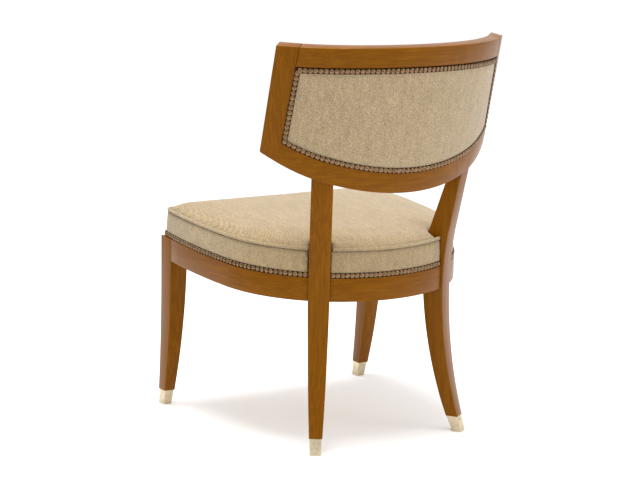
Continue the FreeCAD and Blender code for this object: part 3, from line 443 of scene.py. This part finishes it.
def seam_turn(level, shift):
    """Turn of the left seam at a level, moved inwards by shift."""
    share = (level - SEAM_LOW_LEVEL) / (SEAM_HIGH_LEVEL - SEAM_LOW_LEVEL)
    place = SEAM_LOW + (SEAM_HIGH - SEAM_LOW) * share - shift
    return BEARING + math.asin(place / (CONE_RADIUS + level * math.tan(FLARE)))


def border_path(inset, depth, outwards):
    """Closed line round the panel, inside the frame's opening."""
    side = []
    for step in range(SIDE_STEPS + 1):
        level = LEVEL_LOW + LEVEL_RISE * step / SIDE_STEPS
        turn = seam_turn(level, inset)
        across = MIDDLE_RADIUS * math.sin(turn)
        if bottom_level(across) + inset <= level <= top_level(across) - inset:
            side.append((turn, level))
    low_turns, high_turns = [[end * (2.0 * step / EDGE_STEPS - 1.0) for step in range(EDGE_STEPS + 1)]
                             for end in (side[0][0], side[-1][0])]
    path = [(turn, bottom_level(MIDDLE_RADIUS * math.sin(turn)) + inset) for turn in low_turns]
    path += side
    path += [(turn, top_level(MIDDLE_RADIUS * math.sin(turn)) - inset) for turn in reversed(high_turns)]
    path += [(-turn, level) for turn, level in reversed(side)]
    kept = []
    for turn, level in path:
        point, normal = back_point(turn, level, depth)
        if not kept or (point - kept[-1][0]).length > LEAST_STEP:
            kept.append((point, normal if outwards else -normal))
    return kept


# Upholstery

CLOTH_FRAMES = 20


def tucked(piece, path, reach, limit):
    """Presses a pad in along a line, so that what lies nearer than half of reach stays below limit."""
    tree = KDTree(len(path))
    for index, (point, normal) in enumerate(path):
        tree.insert(point, index)
    tree.balance()
    for vertex in piece.data.vertices:
        point, index, distance = tree.find(vertex.co)
        normal = path[index][1]
        over = (vertex.co - point).dot(normal) - limit * MM
        if distance <= reach * MM and over > 0.0:
            vertex.co -= normal * over * min(1.0, 2.0 * (1.0 - distance / (reach * MM)))


def stuffed(name, sources, finish, voxel, cap, smooth, pressure):
    """A pad grown from the solids: remeshed, smoothed, blown up as cloth by a capped amount."""
    piece = link(name, clean_copy(name + "_mesh", *sources), finish)
    remesh = piece.modifiers.new("even", "REMESH")
    remesh.mode = "VOXEL"
    remesh.voxel_size = voxel * MM
    soften = piece.modifiers.new("soften", "SMOOTH")
    soften.factor = 0.5
    soften.iterations = smooth
    settled(piece)
    start = [vertex.co.copy() for vertex in piece.data.vertices]
    cloth = piece.modifiers.new("swell", "CLOTH")
    cloth.settings.use_pressure = True
    cloth.settings.uniform_pressure_force = pressure
    cloth.settings.effector_weights.gravity = 0.0
    cloth.point_cache.frame_start = 1
    cloth.point_cache.frame_end = CLOTH_FRAMES
    for number in range(1, CLOTH_FRAMES + 1):
        scene.frame_set(number)
    settled(piece)
    scene.frame_set(1)
    for vertex, before in zip(piece.data.vertices, start):
        move = vertex.co - before
        if move.length > cap * MM:
            move *= cap * MM / move.length
        vertex.co = before + move
    smooth_faces(piece.data)
    finer = piece.modifiers.new("finer", "SUBSURF")
    finer.levels = finer.render_levels = 1
    settled(piece)
    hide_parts(*sources)
    return piece


# Boxing, in mm: heights of its rows, inset at its foot, lean, bulge and thickness
BOXING = [50.0, 54.0, 60.0, 68.0, 78.0, 88.0, 98.0, 106.5]
BOXING_INSET, BOXING_LEAN, BOXING_BULGE, BOXING_THICKNESS = 3.7, 1.9, 1.1, 1.0
BOXING_STEPS, WELT_SIDES = 420, 12
# Nail lines, in mm: half the trim's width, inset on the seat, and depth behind the back's outer face
NAIL_BORDER, NAIL_INSET, OUTSIDE_DEPTH, INSIDE_DEPTH = 5.9, 1.9, -1.0, 33.0
# Least gap in mm from a rear leg to boxing and welt, and to a nail's middle
COVER_POST_GAP, NAIL_POST_GAP = 1.5, 6.0


def boxing_line(height):
    """The boxing's line at a height: it leans in, bulges a little and has rounder upper corners."""
    share = (height - BAND_HEIGHT) / (WELT_HEIGHT - BAND_HEIGHT)
    inset = BOXING_INSET + BOXING_LEAN * share - BOXING_BULGE * math.sin(math.pi * share)
    return densely(seat_path(inset, height, LOW_CORNER + (HIGH_CORNER - LOW_CORNER) * share))


welt_line = densely(seat_path(WELT_INSET, WELT_HEIGHT, HIGH_CORNER))
seat_line = densely(seat_path(NAIL_INSET, BAND_HEIGHT + NAIL_BORDER))
outside_line = border_path(NAIL_BORDER, OUTSIDE_DEPTH, True)
inside_line = border_path(NAIL_BORDER, INSIDE_DEPTH, False)
seat_cushion = stuffed("seat_cushion", ("seat_cover", "seat_foam"), fabric_seat, voxel=5.5, cap=2.5,
                       smooth=4, pressure=3.0)
for height in BOXING:
    tucked(seat_cushion, boxing_line(height), reach=9.0, limit=-1.6)
tucked(seat_cushion, welt_line, reach=6.5, limit=-2.6)
tucked(seat_cushion, seat_line, reach=11.0, limit=-1.7)
outside_pad = stuffed("outside_back_pad", ("outside_back_cover",), fabric_back, voxel=4.0, cap=1.2,
                      smooth=3, pressure=1.5)
tucked(outside_pad, outside_line, reach=14.0, limit=-1.2)
inside_pad = stuffed("inside_back_pad", ("inside_back_cover", "inside_back_foam"), fabric_back,
                     voxel=4.4, cap=2.0, smooth=4, pressure=2.5)
tucked(inside_pad, inside_line, reach=14.0, limit=-1.2)


def boxing_strip():
    """Flat fabric band between nails and welt, in two lengths that stop at the rear legs."""
    work = bmesh.new()
    lines = [joined_runs(boxing_line(height), COVER_POST_GAP) for height in BOXING]
    for run in range(len(lines[0])):
        rows = [[point for point, normal in line[run]] for line in lines]
        grid = [[work.verts.new(row[round((len(row) - 1) * step / BOXING_STEPS)])
                 for step in range(BOXING_STEPS + 1)] for row in rows]
        for low, high in zip(grid, grid[1:]):
            for step in range(BOXING_STEPS):
                work.faces.new((low[step], low[step + 1], high[step + 1], high[step]))
    bmesh.ops.remove_doubles(work, verts=work.verts, dist=BOXING_MERGE)
    mesh = bpy.data.meshes.new("seat_boxing_mesh")
    work.to_mesh(mesh)
    work.free()
    smooth_faces(mesh)
    piece = link("seat_boxing", mesh, fabric_seat)
    thick = piece.modifiers.new("thick", "SOLIDIFY")
    thick.thickness = BOXING_THICKNESS * MM
    thick.offset = 0.0
    settled(piece)


def ring_faces(work, lower, upper):
    """Closes the gap between two rings of as many points."""
    for step in range(len(lower)):
        after = (step + 1) % len(lower)
        work.faces.new((lower[step], lower[after], upper[after], upper[step]))


def cord_round(line, name, radius):
    """Covered welt cord along the runs of a line."""
    turns = [math.tau * step / WELT_SIDES for step in range(WELT_SIDES)]
    work = bmesh.new()
    for run in joined_runs(line, COVER_POST_GAP):
        rings = []
        for (point, normal), (after, _) in zip(run[::2], run[1::2]):
            along = (after - point).normalized()
            side = along.cross(normal).normalized()
            rings.append([work.verts.new(point + (normal * math.cos(turn) + side * math.sin(turn))
                                         * radius * MM) for turn in turns])
        for first, second in zip(rings, rings[1:]):
            ring_faces(work, first, second)
        work.faces.new(rings[0])
        work.faces.new(list(reversed(rings[-1])))
    mesh = bpy.data.meshes.new(name + "_mesh")
    work.to_mesh(mesh)
    work.free()
    smooth_faces(mesh)
    piece = link(name, mesh, fabric_seat)
    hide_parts("seat_welt_front", "seat_welt_back")


boxing_strip()
cord_round(welt_line, "seat_welt", WELT_RADIUS)


# Nail heads

# Pitch, radius and rise of a head, in mm
NAIL_PITCH, NAIL_RADIUS, NAIL_RISE = 10.7, 5.15, 2.7
# Slope of a head along its row, and its number of sides
NAIL_TIP, NAIL_SIDES = 0.10, 16
# Section of a head from the rim inwards: share of the radius, and share of the rise there
NAIL_SECTION = [(1.0, -0.25), (1.0, 0.28), (0.9, 0.4), (0.8, 0.24), (0.64, 0.72), (0.36, 0.94)]


def dome(work, centre, normal, along, radius, rise):
    """A low domed head with a small rim, tipped a little along its row."""
    normal = (normal + along * NAIL_TIP).normalized()
    first = along.cross(normal).normalized()
    second = normal.cross(first)
    turns = [math.tau * step / NAIL_SIDES for step in range(NAIL_SIDES)]
    rings = [[work.verts.new(centre + (first * math.cos(turn) + second * math.sin(turn))
                             * radius * share + normal * rise * height) for turn in turns]
             for share, height in NAIL_SECTION]
    top = work.verts.new(centre + normal * rise)
    for lower, upper in zip(rings, rings[1:]):
        ring_faces(work, lower, upper)
    for step in range(NAIL_SIDES):
        work.faces.new((rings[-1][step], rings[-1][(step + 1) % NAIL_SIDES], top))


def nail_rows(name, runs, closed=False):
    """Heads at an even pitch along each run of points and normals."""
    work = bmesh.new()
    for run in runs:
        for centre, normal, along in spaced(run, NAIL_PITCH * MM, closed):
            dome(work, centre, normal, along, NAIL_RADIUS * MM, NAIL_RISE * MM)
    mesh = bpy.data.meshes.new(name + "_mesh")
    work.to_mesh(mesh)
    work.free()
    smooth_faces(mesh)
    link(name, mesh, nail_metal)


nail_rows("seat_nails", joined_runs(seat_line, NAIL_POST_GAP))
nail_rows("outside_back_nails", [outside_line], closed=True)
nail_rows("inside_back_nails", [inside_line], closed=True)


# Floor, light and camera, in metres

FLOOR_REACH = 30.0
floor_corners = [(x * FLOOR_REACH, y * FLOOR_REACH, 0.0)
                 for x, y in ((-1, -1), (1, -1), (1, 1), (-1, 1))]
floor_mesh = bpy.data.meshes.new("floor_mesh")
floor_mesh.from_pydata(floor_corners, [], [(0, 1, 2, 3)])
floor = bpy.data.objects.new("floor", floor_mesh)
scene.collection.objects.link(floor)
floor_finish, _, floor_shader = material("floor_paper")
floor_shader.inputs["Base Color"].default_value = (0.93, 0.93, 0.93, 1.0)
floor_shader.inputs["Roughness"].default_value = 0.9
floor_shader.inputs["Specular IOR Level"].default_value = 0.1
floor_shader.inputs["Emission Color"].default_value = (1.0, 1.0, 1.0, 1.0)
floor_shader.inputs["Emission Strength"].default_value = 0.07
floor_mesh.materials.append(floor_finish)

scene.view_settings.view_transform = "Standard"
world = bpy.data.worlds.new("studio")
scene.world = world
world.use_nodes = True
background = world.node_tree.nodes["Background"]
background.inputs["Color"].default_value = (1.0, 1.0, 1.0, 1.0)
background.inputs["Strength"].default_value = 1.0


def softbox(name, place, aim, width, height, power, colour=(1.0, 1.0, 1.0)):
    lamp = bpy.data.lights.new(name, "AREA")
    lamp.shape = "RECTANGLE"
    lamp.size, lamp.size_y = width, height
    lamp.energy = power
    lamp.color = colour
    holder = bpy.data.objects.new(name, lamp)
    scene.collection.objects.link(holder)
    holder.location = place
    holder.rotation_euler = (Vector(aim) - Vector(place)).to_track_quat("-Z", "Y").to_euler()


softbox("overhead", (0.4, 0.1, 3.1), (0.0, 0.0, 0.4), width=1.5, height=1.5, power=85.0)
softbox("right_box", (-2.2, 2.6, 1.6), (0.0, 0.1, 0.6), width=1.6, height=2.2, power=26.0,
        colour=(0.96, 0.96, 1.0))

# Camera as fitted to the photograph: place and aim over the ground in mm, its angles, and its lens
# in the photograph's pixels
CAMERA_PLACE, AIM_OFFSET = (2562.5, 3830.4, 1307.9), (-2562.457, -3903.822)
HEADING_TRIM, PITCH, ROLL = [math.radians(degrees) for degrees in (-0.08, -11.056, 1.166)]
IMAGE_WIDTH, FOCAL_PIXELS, SHIFT_ACROSS, SHIFT_UP = 640.0, 2133.475, 1.44, 0.21
heading = math.atan2(*AIM_OFFSET) + HEADING_TRIM
ahead = Vector((math.sin(heading) * math.cos(PITCH), math.cos(heading) * math.cos(PITCH),
                math.sin(PITCH)))
right = Vector((ahead.y, -ahead.x, 0.0)).normalized()
up = right.cross(ahead)
right, up = (right * math.cos(ROLL) + up * math.sin(ROLL),
             up * math.cos(ROLL) - right * math.sin(ROLL))
camera = bpy.data.cameras.new("camera")
camera.sensor_width = 36.0
camera.lens = FOCAL_PIXELS * camera.sensor_width / IMAGE_WIDTH
camera.shift_x = SHIFT_ACROSS / IMAGE_WIDTH
camera.shift_y = SHIFT_UP / IMAGE_WIDTH
camera.clip_end = 200.0
holder = bpy.data.objects.new("camera", camera)
scene.collection.objects.link(holder)
turned = Matrix((right, up, -ahead)).transposed().to_4x4()
holder.matrix_world = Matrix.Translation(Vector(CAMERA_PLACE) * MM) @ turned
scene.camera = holder
